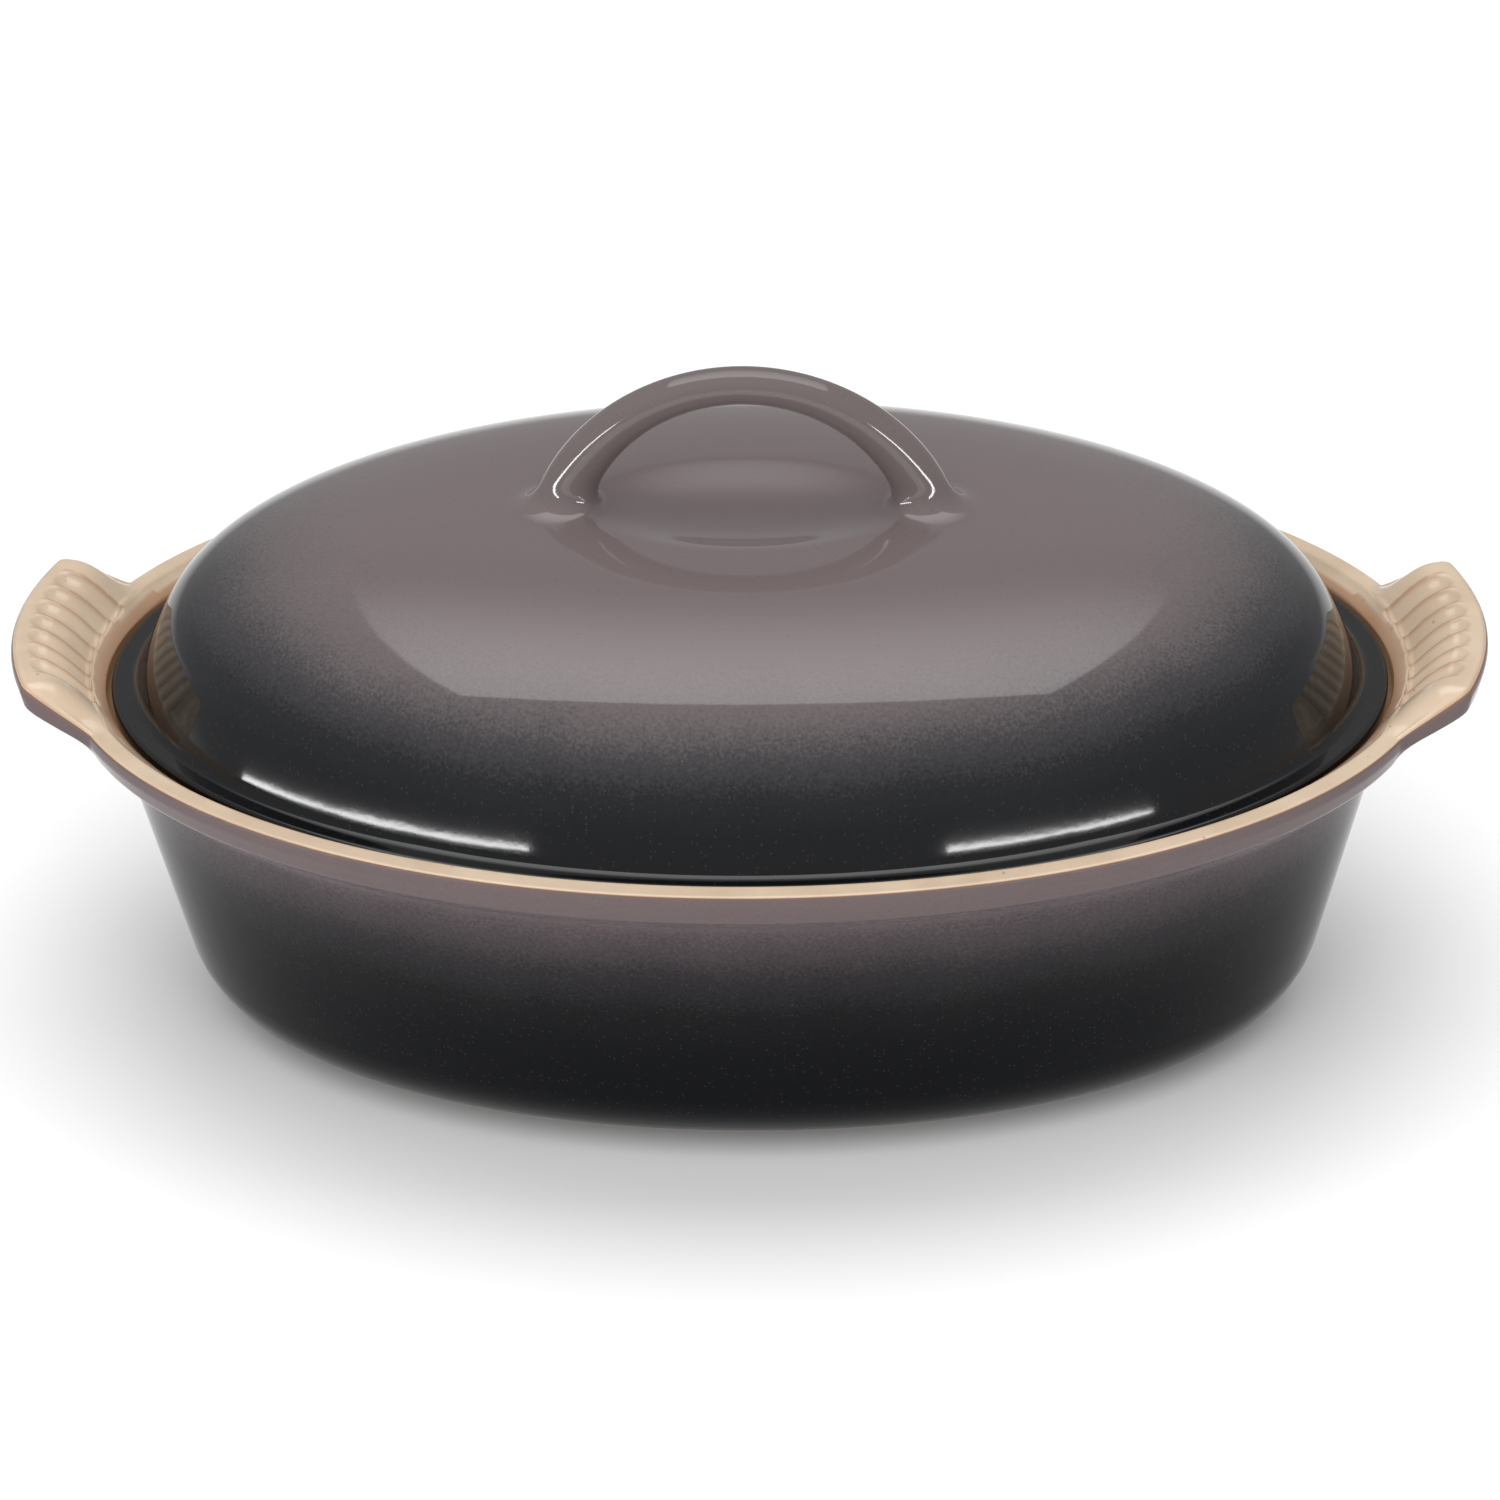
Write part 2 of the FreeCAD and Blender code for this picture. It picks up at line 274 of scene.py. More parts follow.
def flute_scoop(inset, y):
    """0 on the plain surface and 1 at the bottom of a flute, and how near a ridge the point is."""
    outwards = RIM_FLAT - inset
    spread_y = y / (1.0 + FLUTE_FAN * outwards / SLOPE_RUN)
    number = np.round(spread_y / FLUTE_PITCH)
    across = 2.0 * (spread_y / FLUTE_PITCH - number)
    tip = np.maximum(outwards - (FLUTE_TIP - FLUTE_TIP_ROUND), 0.0) / FLUTE_TIP_ROUND
    scoop = np.maximum(1.0 - across ** 2 - tip ** 2, 0.0)
    inside = np.abs(number) <= (FLUTES - 1) / 2
    scoop = np.where(inside, scoop, 0.0)
    near = np.abs(np.abs(across) - 1.0)
    reach = np.abs(spread_y) < (FLUTES / 2 + 0.06) * FLUTE_PITCH
    ridge = np.where(reach, np.exp(-(near / 0.16) ** 2) * np.maximum(1.0 - tip ** 2, 0.0), 0.0)
    return scoop, ridge


def top_height(inset):
    """The rim's flat height, rising over the grips."""
    outwards = np.clip((RIM_FLAT - inset) / SLOPE_RUN, 0.0, 1.0)
    slope = GRIP_TOP - RIM_Z - EDGE_LIFT
    return RIM_Z + grip * (EDGE_LIFT + slope * np.sin(math.pi / 2 * outwards))


TOP_ROWS = 34
top_start = skin_mix[-(SKIN_RUN + 1)]
top_rows = []
top_ridges = []
for fraction in np.linspace(0.0, 1.0, TOP_ROWS)[1:]:
    inner = RIM_FLAT - 0.9 + (GRIP_EDGE - RIM_FLAT) * grip
    inset = top_start[:, 0] + (inner - top_start[:, 0]) * fraction
    z = top_height(inset)
    z = z + (top_start[:, 1] - z) * (1.0 - fraction) ** 12
    flat_row = at_inset(inset, inset, z)
    scoop, ridge = flute_scoop(inset, flat_row[:, 1])
    flat_row[:, 2] -= FLUTE_DEPTH * scoop * grip
    top_rows.append(flat_row)
    top_ridges.append(ridge * grip)
print("cream top:", len(top_rows), "rows")

# %% [markdown]
# ## The ledge and the inside
# Inside the rim the wall drops as a short gallery to the ledge that carries the lid. Below that it
# follows the outside at an even thickness, down to a generous round at the floor. The flutes run out
# over the inner edge, so the rows of that edge keep a share of the scoop that fades as they turn down.

# %% Rows of the inside
GALLERY_X_EXTRA = 2.3
LEDGE_Z = 94.5
FLOOR_Z = 9.0
LEDGE_INSET = 20.5
GALLERY_INSET = 8.1
EDGE_ARC = 6
EDGE_RUN = 3
EDGE_FLAT = 0.9

floor_corner = (LEDGE_INSET + (LEDGE_Z - FLOOR_Z) * TAPER, FLOOR_Z)
below_edge = [(GALLERY_INSET, 98.6, 2.4), (GALLERY_INSET, LEDGE_Z, 1.3), (LEDGE_INSET, LEDGE_Z, 1.6),
              (*floor_corner, 22.0), (64.0, FLOOR_Z)]
plain_inside = rounded_section([(RIM_FLAT - EDGE_FLAT, RIM_Z), (RIM_FLAT, RIM_Z, 0.6), *below_edge],
                               arc_points=EDGE_ARC, run_points=EDGE_RUN)
grip_inside = rounded_section([(GRIP_EDGE - EDGE_FLAT, RIM_Z + EDGE_LIFT),
                               (GRIP_EDGE, RIM_Z + EDGE_LIFT - 0.85, 0.6), *below_edge],
                              arc_points=EDGE_ARC, run_points=EDGE_RUN)
gallery_share = smoothstep(RIM_FLAT, GALLERY_INSET, plain_inside[:, 0]) * (
    1.0 - smoothstep(GALLERY_INSET, 30.0, plain_inside[:, 0]))
inside_rows = []
inside_ridges = []
for index in range(1, len(plain_inside)):
    inset = plain_inside[index, 0] * (1 - grip) + grip_inside[index, 0] * grip
    z = plain_inside[index, 1] * (1 - grip) + grip_inside[index, 1] * grip
    row = at_inset(inset + GALLERY_X_EXTRA * gallery_share[index], inset, z)
    fade = float(np.clip(1.0 - (index - EDGE_RUN) / (EDGE_ARC + 1), 0.0, 1.0))
    scoop, ridge = flute_scoop(inset, row[:, 1])
    row[:, 2] -= FLUTE_DEPTH * scoop * grip * fade
    inside_rows.append(row)
    inside_ridges.append(ridge * grip * fade)
print("inside:", len(inside_rows), "rows")

# %% [markdown]
# ## Two skins of one pot
# The exporter and the library want a piece for each finish. So the pot is split inside its wall,
# where nobody sees it: the dark skin and the cream lining are both closed meshes, and they share the
# hidden surface between them.

# %% The hidden surface inside the wall
HIDDEN_TOP = (16.8, CREASE[1])
HIDDEN_FLOOR_Z = 6.0
POLE_SHARES = (0.08, 0.4, 0.75)
plain_hidden = [(3.0, 99.0), (5.5, 93.0), (16.2, 91.0), HIDDEN_TOP]
grip_hidden = [(-5.0, 107.0), (4.5, 98.0), (16.2, 91.0), HIDDEN_TOP]
middle_foot = (HIDDEN_TOP[0] + (CREASE[1] - HIDDEN_FLOOR_Z) * TAPER, HIDDEN_FLOOR_Z)
middle_wall = rounded_section([HIDDEN_TOP, (*middle_foot, 24.0), (62.0, HIDDEN_FLOOR_Z)],
                              arc_points=7, run_points=1)
hidden = [np.array(p)[None] * (1 - grip[:, None]) + np.array(h)[None] * grip[:, None]
          for p, h in zip(plain_hidden, grip_hidden)]
hidden += [np.broadcast_to(point, (dish_columns, 2)) for point in middle_wall[1:]]
hidden_rows = [at_inset(row[:, 0], row[:, 0], row[:, 1]) for row in hidden]


def shrink_row(row, share):
    """A flat row drawn in towards the middle of the dish."""
    return row * [share, share, 1.0]


# %% The dark skin of the dish
skin_rows = [at_inset(row[:, 0], row[:, 0], row[:, 1]) for row in skin_mix]
base_rows = [shrink_row(skin_rows[0], share) for share in POLE_SHARES]
body_rows = base_rows + skin_rows[:edge_row + 1] + hidden_rows
body_points, body_faces = pole_grid(body_rows, (0, 0, BASE_Z), (0, 0, HIDDEN_FLOOR_Z))
dish_body = make_piece("dish_body", body_points, body_faces, "dish", ["dish_bowl"])

# %% The cream lining
floor_row = inside_rows[-1]
floor_rows = [shrink_row(floor_row, share) for share in POLE_SHARES[::-1]]
lining_visible = skin_rows[edge_row:len(skin_rows) - SKIN_RUN] + top_rows + inside_rows + floor_rows
lining_rows = hidden_rows[::-1] + lining_visible
lining_points, lining_faces = pole_grid(lining_rows, (0, 0, HIDDEN_FLOOR_Z), (0, 0, FLOOR_Z))
dish_lining = make_piece("dish_lining", lining_points, lining_faces, "dish",
                         ["dish_rim", "left_grip", "right_grip"])

# %% [markdown]
# ## Where glaze runs thin
# Molten glaze pulls away from sharp edges, so the clay shows through as a warm brown line. The mesh
# knows where its edges are, so each point keeps a number for how thin its glaze is. The grips'
# ridges, the rim's two edges and the line where the two glazes meet get high numbers.

# %% Edge masks on the dish
dark_edge = np.zeros(len(body_points))
first_edge = (len(base_rows) + edge_row) * dish_columns
for back, strength in enumerate((1.0, 0.45, 0.12)):
    start = first_edge - back * dish_columns
    dark_edge[start:start + dish_columns] = strength
store_mask(dish_body, "thin_glaze", dark_edge)

cream_edge = np.zeros(len(lining_points))
cursor = len(hidden_rows) * dish_columns
turned_rows = len(skin_rows) - SKIN_RUN - edge_row
for offset in range(turned_rows):
    cream_edge[cursor:cursor + dish_columns] = max(0.0, 1.0 - offset / 2.2)
    cursor += dish_columns
for ridge in top_ridges + inside_ridges:
    cream_edge[cursor:cursor + dish_columns] = ridge
    cursor += dish_columns
inner_edge = (len(hidden_rows) + turned_rows + len(top_rows) + EDGE_RUN) * dish_columns
for offset in range(-2, 4):
    start = inner_edge + offset * dish_columns
    band = cream_edge[start:start + dish_columns]
    cream_edge[start:start + dish_columns] = np.maximum(band, 0.3 - 0.08 * abs(offset))
store_mask(dish_lining, "thin_glaze", cream_edge)
# Painted shade with thinner glaze: points on the gallery wall and ledge inside the rim get a mask that tints
# the cream a darker toffee.
heights = lining_points[:, 2]
outer_reach = np.hypot(lining_points[:, 0] / (RIM_X - RIM_FLAT - 2.0),
                       lining_points[:, 1] / (RIM_Y - RIM_FLAT - 2.0))
gallery_shade_mask = (1.0 - smoothstep(99.5, 104.5, heights)) * smoothstep(70.0, 92.0, heights) * (outer_reach < 1.0)
store_mask(dish_lining, "gallery_shade_and_thin_glaze", gallery_shade_mask)
print("thin glaze on", np.count_nonzero(cream_edge > 0.3), "points of the lining")

# %% [markdown]
# ## The foot ring
# A pot stands on an unglazed ring, because glaze would weld it to the kiln shelf. It is a small ring
# with softly rounded edges, carried round the same oval.

# %% Build the foot ring
FOOT_OUTER = 50.0
FOOT_WIDTH = 7.0


def ring_section(outer, inner, low, high, radius):
    """A closed rectangle with rounded lower corners, as (inset, z) points."""
    return rounded_section([(outer, high), (outer, low, radius), (inner, low, radius), (inner, high)],
                           arc_points=5, run_points=1)


foot_section = ring_section(FOOT_OUTER, FOOT_OUTER + FOOT_WIDTH, 0.0, BASE_Z + 0.4, 0.9)
foot_rows = [at_inset(inset, inset, z) for inset, z in foot_section]
foot_points, foot_faces = ring_grid(foot_rows)
foot_ring = make_piece("foot_ring_bare", foot_points, foot_faces, "dish", ["foot_ring"])

# %% [markdown]
# ## The lid
# The dome is steep at its foot and nearly flat on top, which is a curve between a ball and a box.
# A power curve draws it exactly. The finger hollow is part of an egg shape pressed into the crown,
# and the two heights are joined with a small fillet, the way a glaze softens a crease. Near its foot
# the dome straightens into a leaning skirt, which turns out to the flange through a small cove.

# %% Height of the dome
DOME_FOOT_Z = 97.5
DOME_SPREAD = 3.35
DOME_ROUND = 2.75
RECESS_X = 40.0
RECESS_Y = 23.0
RECESS_DEPTH = 4.5
RECESS_RISE = 6.0
RECESS_FILLET = 2.4
LID_WALL = 5.5


def dome_height(x, y, inset=0.0):
    """Height of the plain dome, or of a dome inside it by inset."""
    reach = np.hypot(x / (DOME_X - inset), y / (DOME_Y - inset))
    rise = np.maximum(1.0 - reach ** DOME_SPREAD, 0.0) ** (1.0 / DOME_ROUND)
    return DOME_FOOT_Z + (DOME_TOP - inset - DOME_FOOT_Z) * rise


def hollow_height(x, y, grow=0.0):
    """Height of the egg shape that presses the finger hollow."""
    depth = RECESS_RISE + RECESS_DEPTH
    share = math.sqrt(1.0 - (RECESS_RISE / depth) ** 2)
    reach = (x / (RECESS_X / share + grow)) ** 2 + (y / (RECESS_Y / share + grow)) ** 2
    inside = np.sqrt(np.maximum(1.0 - reach, 0.0))
    egg = DOME_TOP + RECESS_RISE - (depth + grow) * inside
    return np.where(reach < 0.999, egg, DOME_TOP + RECESS_RISE)


def soft_lower(first, second, blend):
    """The lower of two heights, with a fillet where they cross."""
    share = np.clip(0.5 + 0.5 * (second - first) / blend, 0.0, 1.0)
    return second + (first - second) * share - blend * share * (1.0 - share)


def crown_height(x, y):
    """Height of the lid's top, finger hollow included."""
    return soft_lower(dome_height(x, y), hollow_height(x, y), RECESS_FILLET)


# %% Rows of the lid from its seat to the crown
LID_COLUMNS = 320
CROWN_SHARE = 0.6
SHELL_Z = SEAT_Z + 0.4
FLANGE_TOP = 99.3
lid_angle = np.arange(LID_COLUMNS) * 2.0 * math.pi / LID_COLUMNS


def lid_row(inset, z):
    """A row of points round the lid at an inset from its edge."""
    return np.stack([(LID_X - inset) * np.cos(lid_angle), (LID_Y - inset) * np.sin(lid_angle),
                     np.broadcast_to(z, lid_angle.shape)], 1)


LINING_THICK = 0.8
COVE_R = 3.2
SKIRT_LEAN = math.radians(26.0)
FOOT_LEAN = math.radians(21.5)
SKIRT_ROWS = 15
COVE_ROWS = 16
DOME_ROWS = 44
hidden_inset = DOME_INSET + LID_WALL - LINING_THICK


def skirt_start():
    """Share of the dome's reach, for each column, where its wall leans out by SKIRT_LEAN."""
    steep = (DOME_TOP - DOME_FOOT_Z) * DOME_SPREAD / DOME_ROUND * math.tan(SKIRT_LEAN)
    steep = steep * np.hypot(np.cos(lid_angle) / DOME_X, np.sin(lid_angle) / DOME_Y)
    share = np.full(LID_COLUMNS, 0.97)
    for step in range(12):
        rise = (steep * share ** (DOME_SPREAD - 1.0)) ** (1.0 / (1.0 - 1.0 / DOME_ROUND))
        share = (1.0 - rise) ** (1.0 / DOME_SPREAD)
    return share


def foot_row(run, z):
    """A row of the skirt: the dome at the skirt's start, moved outwards by run."""
    return np.stack([(DOME_X * start_share + run) * np.cos(lid_angle),
                     (DOME_Y * start_share + run) * np.sin(lid_angle), z], 1)


start_share = skirt_start()
start_z = dome_height(DOME_X * start_share, 0.0 * start_share)
cove_top = FLANGE_TOP + COVE_R * (1.0 - math.sin(FOOT_LEAN))
drop = start_z - cove_top
skirt_rows = []
for s in np.linspace(1.0, 0.0, SKIRT_ROWS)[:-1]:
    slope = math.tan(SKIRT_LEAN) * s + 0.5 * (math.tan(FOOT_LEAN) - math.tan(SKIRT_LEAN)) * s * s
    skirt_rows.append(foot_row(drop * slope, start_z - drop * s))
full_run = drop * 0.5 * (math.tan(SKIRT_LEAN) + math.tan(FOOT_LEAN))
cove_rows = []
for lean in np.linspace(0.0, math.pi / 2 - FOOT_LEAN, COVE_ROWS)[:-1]:
    run = full_run + COVE_R * (math.cos(FOOT_LEAN) - math.sin(lean))
    cove_rows.append(foot_row(run, np.full(LID_COLUMNS, FLANGE_TOP + COVE_R * (1.0 - math.cos(lean)))))
flange = rounded_section([(hidden_inset, SHELL_Z), (0.0, SHELL_Z, 1.1), (0.0, FLANGE_TOP, 1.2),
                          (2.2, FLANGE_TOP)],
                         arc_points=8, run_points=2)
flange_rows = [lid_row(inset, z) for inset, z in flange] + cove_rows + skirt_rows
dome_rows = []
crown_angle = math.asin(CROWN_SHARE ** (DOME_SPREAD / 2.0))
foot_angle = np.arcsin(start_share ** (DOME_SPREAD / 2.0))
for step in np.linspace(0.0, 1.0, DOME_ROWS) ** 1.1:
    angle = foot_angle * (1.0 - step) + crown_angle * step
    share = np.sin(angle) ** (2.0 / DOME_SPREAD)
    x = DOME_X * share * np.cos(lid_angle)
    y = DOME_Y * share * np.sin(lid_angle)
    dome_rows.append(np.stack([x, y, crown_height(x, y)], 1))
print("lid:", len(flange_rows), "rows on the flange and", len(dome_rows), "on the dome")

# %% [markdown]
# ## The arched handle
# The handle is a bar bent into an arch, thinner on top and wider front to back at its feet. Its
# outline lies between two arcs with different centres. The feet flow into the dome with a fillet:
# from each point of the last bar section a curve leaves along the leg and arrives along the dome.

# %% Sections of the handle
HANDLE_OUTER_R = 59.0
HANDLE_INNER_R = 42.0
HANDLE_INNER_Z = 136.2
HANDLE_DEPTH = 9.6
HANDLE_FOOT_DEPTH = 14.5
HANDLE_SWEEP = math.radians(76.0)
FILLET_START = math.radians(60.0)
HANDLE_SIDES = 56
HANDLE_SECTIONS = 72
HANDLE_SQUARE = 2.05
FOOT_X = 48.9
FOOT_HALF_X = 14.6
FOOT_HALF_Y = 13.4
FILLET_ROWS = 16
handle_turn = np.arange(HANDLE_SIDES) * 2.0 * math.pi / HANDLE_SIDES
handle_cos = np.sign(np.cos(handle_turn)) * np.abs(np.cos(handle_turn)) ** (2.0 / HANDLE_SQUARE)
handle_sin = np.sign(np.sin(handle_turn)) * np.abs(np.sin(handle_turn)) ** (2.0 / HANDLE_SQUARE)


def handle_section(angle):
    """One section of the bar; the angle is 0 at the top and grows towards the right foot."""
    direction = np.array([math.sin(angle), 0.0, math.cos(angle)])
    outer = np.array([0.0, 0.0, HANDLE_TOP - HANDLE_OUTER_R]) + direction * HANDLE_OUTER_R
    inner = np.array([0.0, 0.0, HANDLE_INNER_Z]) + direction * HANDLE_INNER_R
    footness = (abs(angle) / HANDLE_SWEEP) ** 3
    depth = HANDLE_DEPTH + (HANDLE_FOOT_DEPTH - HANDLE_DEPTH) * footness
    across = (outer - inner) * 0.5
    return (outer + inner) * 0.5 + np.outer(handle_cos, across) + np.outer(handle_sin, [0.0, depth / 2, 0.0])


def foot_fillet(side):
    """Rows from the dome up to the bar on one side (1 right, -1 left), dome row first."""
    loop_x = side * (FOOT_X + FOOT_HALF_X * handle_cos)
    loop_y = FOOT_HALF_Y * handle_sin
    loop = np.stack([loop_x, loop_y, crown_height(loop_x, loop_y)], 1)
    away = 1.04
    further_x = side * (FOOT_X + FOOT_HALF_X * away * handle_cos)
    further_y = FOOT_HALF_Y * away * handle_sin
    along_dome = np.stack([further_x, further_y, crown_height(further_x, further_y)], 1) - loop
    along_dome /= np.linalg.norm(along_dome, axis=1)[:, None]
    bar = handle_section(side * FILLET_START)
    along_leg = handle_section(side * (FILLET_START + 0.02)) - bar
    along_leg /= np.linalg.norm(along_leg, axis=1)[:, None]
    gap = np.linalg.norm(loop - bar, axis=1)[:, None]
    from_bar = bar + along_leg * gap * 0.42
    from_dome = loop - along_dome * gap * 0.5
    rows = []
    for s in np.linspace(0.0, 1.0, FILLET_ROWS):
        rows.append((1 - s) ** 3 * loop + 3 * s * (1 - s) ** 2 * from_dome
                    + 3 * s * s * (1 - s) * from_bar + s ** 3 * bar)
    return rows


arch_rows = [handle_section(a) for a in np.linspace(FILLET_START, -FILLET_START, HANDLE_SECTIONS)]
right_fillet = foot_fillet(1)
left_fillet = foot_fillet(-1)
handle_rows = right_fillet[:-1] + arch_rows + left_fillet[:-1][::-1]
print("handle:", len(handle_rows), "rows of", HANDLE_SIDES)

# %% [markdown]
# ## The crown between the rim of the dome and the feet
# The handle's feet make two holes in the crown, so a plain grid of rows doesn't fit there. A
# constrained triangulation does: the outer oval and both foot loops are fixed, and an even pattern
# of points fills the space between. All heights come from the same function, so it stays smooth.

# %% Fill the crown
CROWN_SPACING = 1.25


def near_foot(x, y, grow):
    """True inside either foot loop, grown by grow millimetres."""
    wide = FOOT_HALF_X + grow
    deep = FOOT_HALF_Y + grow
    return (np.abs((np.abs(x) - FOOT_X) / wide) ** HANDLE_SQUARE + np.abs(y / deep) ** HANDLE_SQUARE) < 1.0


outer_loop = dome_rows[-1]
rows_y = np.arange(-70.0, 70.0, CROWN_SPACING * math.sqrt(3) / 2)
field = []
for count, y in enumerate(rows_y):
    shift = 0.5 * CROWN_SPACING * (count % 2)
    x = np.arange(-100.0, 100.0, CROWN_SPACING) + shift
    keep = np.hypot(x / (DOME_X * CROWN_SHARE - 1.0), y / (DOME_Y * CROWN_SHARE - 1.0)) < 1.0
    keep &= ~near_foot(x, np.full_like(x, y), 0.6)
    field.extend([(px, y) for px in x[keep]])
field = np.array(field)
loops = [outer_loop[:, :2], right_fillet[0][:, :2], left_fillet[0][:, :2]]
flat_points = np.concatenate(loops + [field])
fixed_edges = []
start = 0
for loop in loops:
    count = len(loop)
    fixed_edges += [(start + i, start + (i + 1) % count) for i in range(count)]
    start += count
filled = delaunay_2d_cdt([Vector(p) for p in flat_points], fixed_edges, [], 0, 1e-5)
origin = [sources[0] if sources else -1 for sources in filled[3]]
crown_faces = [[origin[i] for i in face] for face in filled[2]]
print("crown:", len(flat_points), "points in,", len(filled[0]), "out,", min(origin), "lowest source")

# %% [markdown]
# ## Inside of the lid
# Under the glaze skin the lid is hollow. Its inside follows the dome at an even thickness and has a
# bulge where the finger hollow presses down. It carries the same cream glaze as the dish, and a bare
# ring round its edge sits on the ledge.

# %% Rows inside the lid


def inner_height(x, y, extra):
    """Height of the lid's inside, raised by extra for the hidden surface."""
    plain = dome_height(x, y, LID_WALL - extra)
    bulge = hollow_height(x, y, LID_WALL - extra)
    return soft_lower(plain, bulge, 2.5)


def cavity_rows(extra):
    """Rows from the lid's lower edge up its inside to near the middle."""
    inset = DOME_INSET + LID_WALL - extra
    rows = [lid_row(inset, z) for z in np.linspace(SHELL_Z, DOME_FOOT_Z, 5)]
    for share in np.sin(np.linspace(math.pi / 2 - 0.05, 0.04, 40)) ** 0.8:
        x = (LID_X - inset) * share * np.cos(lid_angle)
        y = (LID_Y - inset) * share * np.sin(lid_angle)
        rows.append(np.stack([x, y, inner_height(x, y, extra)], 1))
    return rows


hidden_lid = cavity_rows(LINING_THICK)
lining_lid = cavity_rows(0.0)
middle = np.zeros(1)
hidden_top = (0.0, 0.0, float(inner_height(middle, middle, LINING_THICK)[0]))
lining_top = (0.0, 0.0, float(inner_height(middle, middle, 0.0)[0]))
lid_lining_points, lid_lining_faces = pole_grid(hidden_lid[::-1] + lining_lid, hidden_top, lining_top)
lid_lining = make_piece("lid_lining", lid_lining_points, lid_lining_faces, "lid")

# %% Join the lid's skin, crown and handle
under_rows = hidden_lid[:0:-1]
skin_lid_rows = under_rows + flange_rows + dome_rows
lid_points, lid_faces = pole_grid(skin_lid_rows, hidden_top, (0, 0, DOME_TOP))
pole = len(lid_points) - 1
lid_faces = [face for face in lid_faces if pole not in face]
lid_points = lid_points[:-1]
outer_start = (len(skin_lid_rows) - 1) * LID_COLUMNS
handle_start = len(lid_points)
field_start = handle_start + len(handle_rows) * HANDLE_SIDES
last_handle_row = handle_start + (len(handle_rows) - 1) * HANDLE_SIDES
crown_index = np.concatenate([outer_start + np.arange(LID_COLUMNS),
                              handle_start + np.arange(HANDLE_SIDES),
                              last_handle_row + np.arange(HANDLE_SIDES),
                              field_start + np.arange(len(field))])
field_points = np.column_stack([field, crown_height(field[:, 0], field[:, 1])])
lid_points = np.concatenate([lid_points, *handle_rows, field_points])
for face in crown_faces:
    middle_point = flat_points[face].mean(axis=0)
    if not near_foot(middle_point[0], middle_point[1], -0.02):
        lid_faces.append([int(crown_index[i]) for i in face])
turn = np.arange(HANDLE_SIDES)
turned = (turn + 1) % HANDLE_SIDES
for row in range(len(handle_rows) - 1):
    low = handle_start + row * HANDLE_SIDES
    high = low + HANDLE_SIDES
    lid_faces.extend(np.stack([low + turn, low + turned, high + turned, high + turn], 1).tolist())
lid_skin = make_piece("lid_skin", lid_points, lid_faces, "lid",
                      ["lid_dome", "lid_flange", "lid_handle"])

# %% The bare seat under the lid
seat_section = ring_section(1.5, DOME_INSET + LID_WALL - 1.4, SEAT_Z, SHELL_Z + 0.25, 0.35)
seat_points, seat_faces = ring_grid([lid_row(inset, z) for inset, z in seat_section])
lid_seat = make_piece("lid_seat_bare", seat_points, seat_faces, "lid")

# %% [markdown]
# ## Shared glaze effects
# Three effects turn up in more than one finish, so each is a node group. The first fades one sprayed
# glaze into another by height, with the grain that a spray gun leaves. The second is the fine pepper
# of iron specks in stoneware glaze. The third is the faint ripple of a glaze that has flowed.

# %% Node helpers


def add_node(tree, kind, place, **settings):
    """A node with its settings, placed on the sheet."""
    node = tree.nodes.new(kind)
    node.location = place
    for name, value in settings.items():
        setattr(node, name, value)
    return node


def new_group(name, inputs, outputs):
    """An empty node group with float inputs (name: default) and named outputs."""
    group = bpy.data.node_groups.new(name, "ShaderNodeTree")
    for label, default in inputs.items():
        socket = group.interface.new_socket(label, in_out="INPUT", socket_type="NodeSocketFloat")
        socket.default_value = default
    for label in outputs:
        group.interface.new_socket(label, in_out="OUTPUT", socket_type="NodeSocketFloat")
    start = add_node(group, "NodeGroupInput", (-900, 0))
    end = add_node(group, "NodeGroupOutput", (700, 0))
    return group, start, end


def math_node(tree, operation, first, second, place):
    """A math node; each input is a socket or a number."""
    node = add_node(tree, "ShaderNodeMath", place, operation=operation)
    for socket, value in zip(node.inputs, (first, second)):
        if isinstance(value, (int, float)):
            socket.default_value = value
        else:
            tree.links.new(value, socket)
    return node.outputs[0]


def noise_node(tree, scale, detail, place):
    """3-D noise in the piece's own coordinates, which are metres."""
    coordinates = add_node(tree, "ShaderNodeTexCoord", (place[0] - 200, place[1]))
    noise = add_node(tree, "ShaderNodeTexNoise", place)
    noise.inputs["Detail"].default_value = detail
    tree.links.new(coordinates.outputs["Object"], noise.inputs["Vector"])
    if isinstance(scale, (int, float)):
        noise.inputs["Scale"].default_value = scale
    else:
        tree.links.new(scale, noise.inputs["Scale"])
    return noise.outputs["Fac"]


# %% The sprayed fade


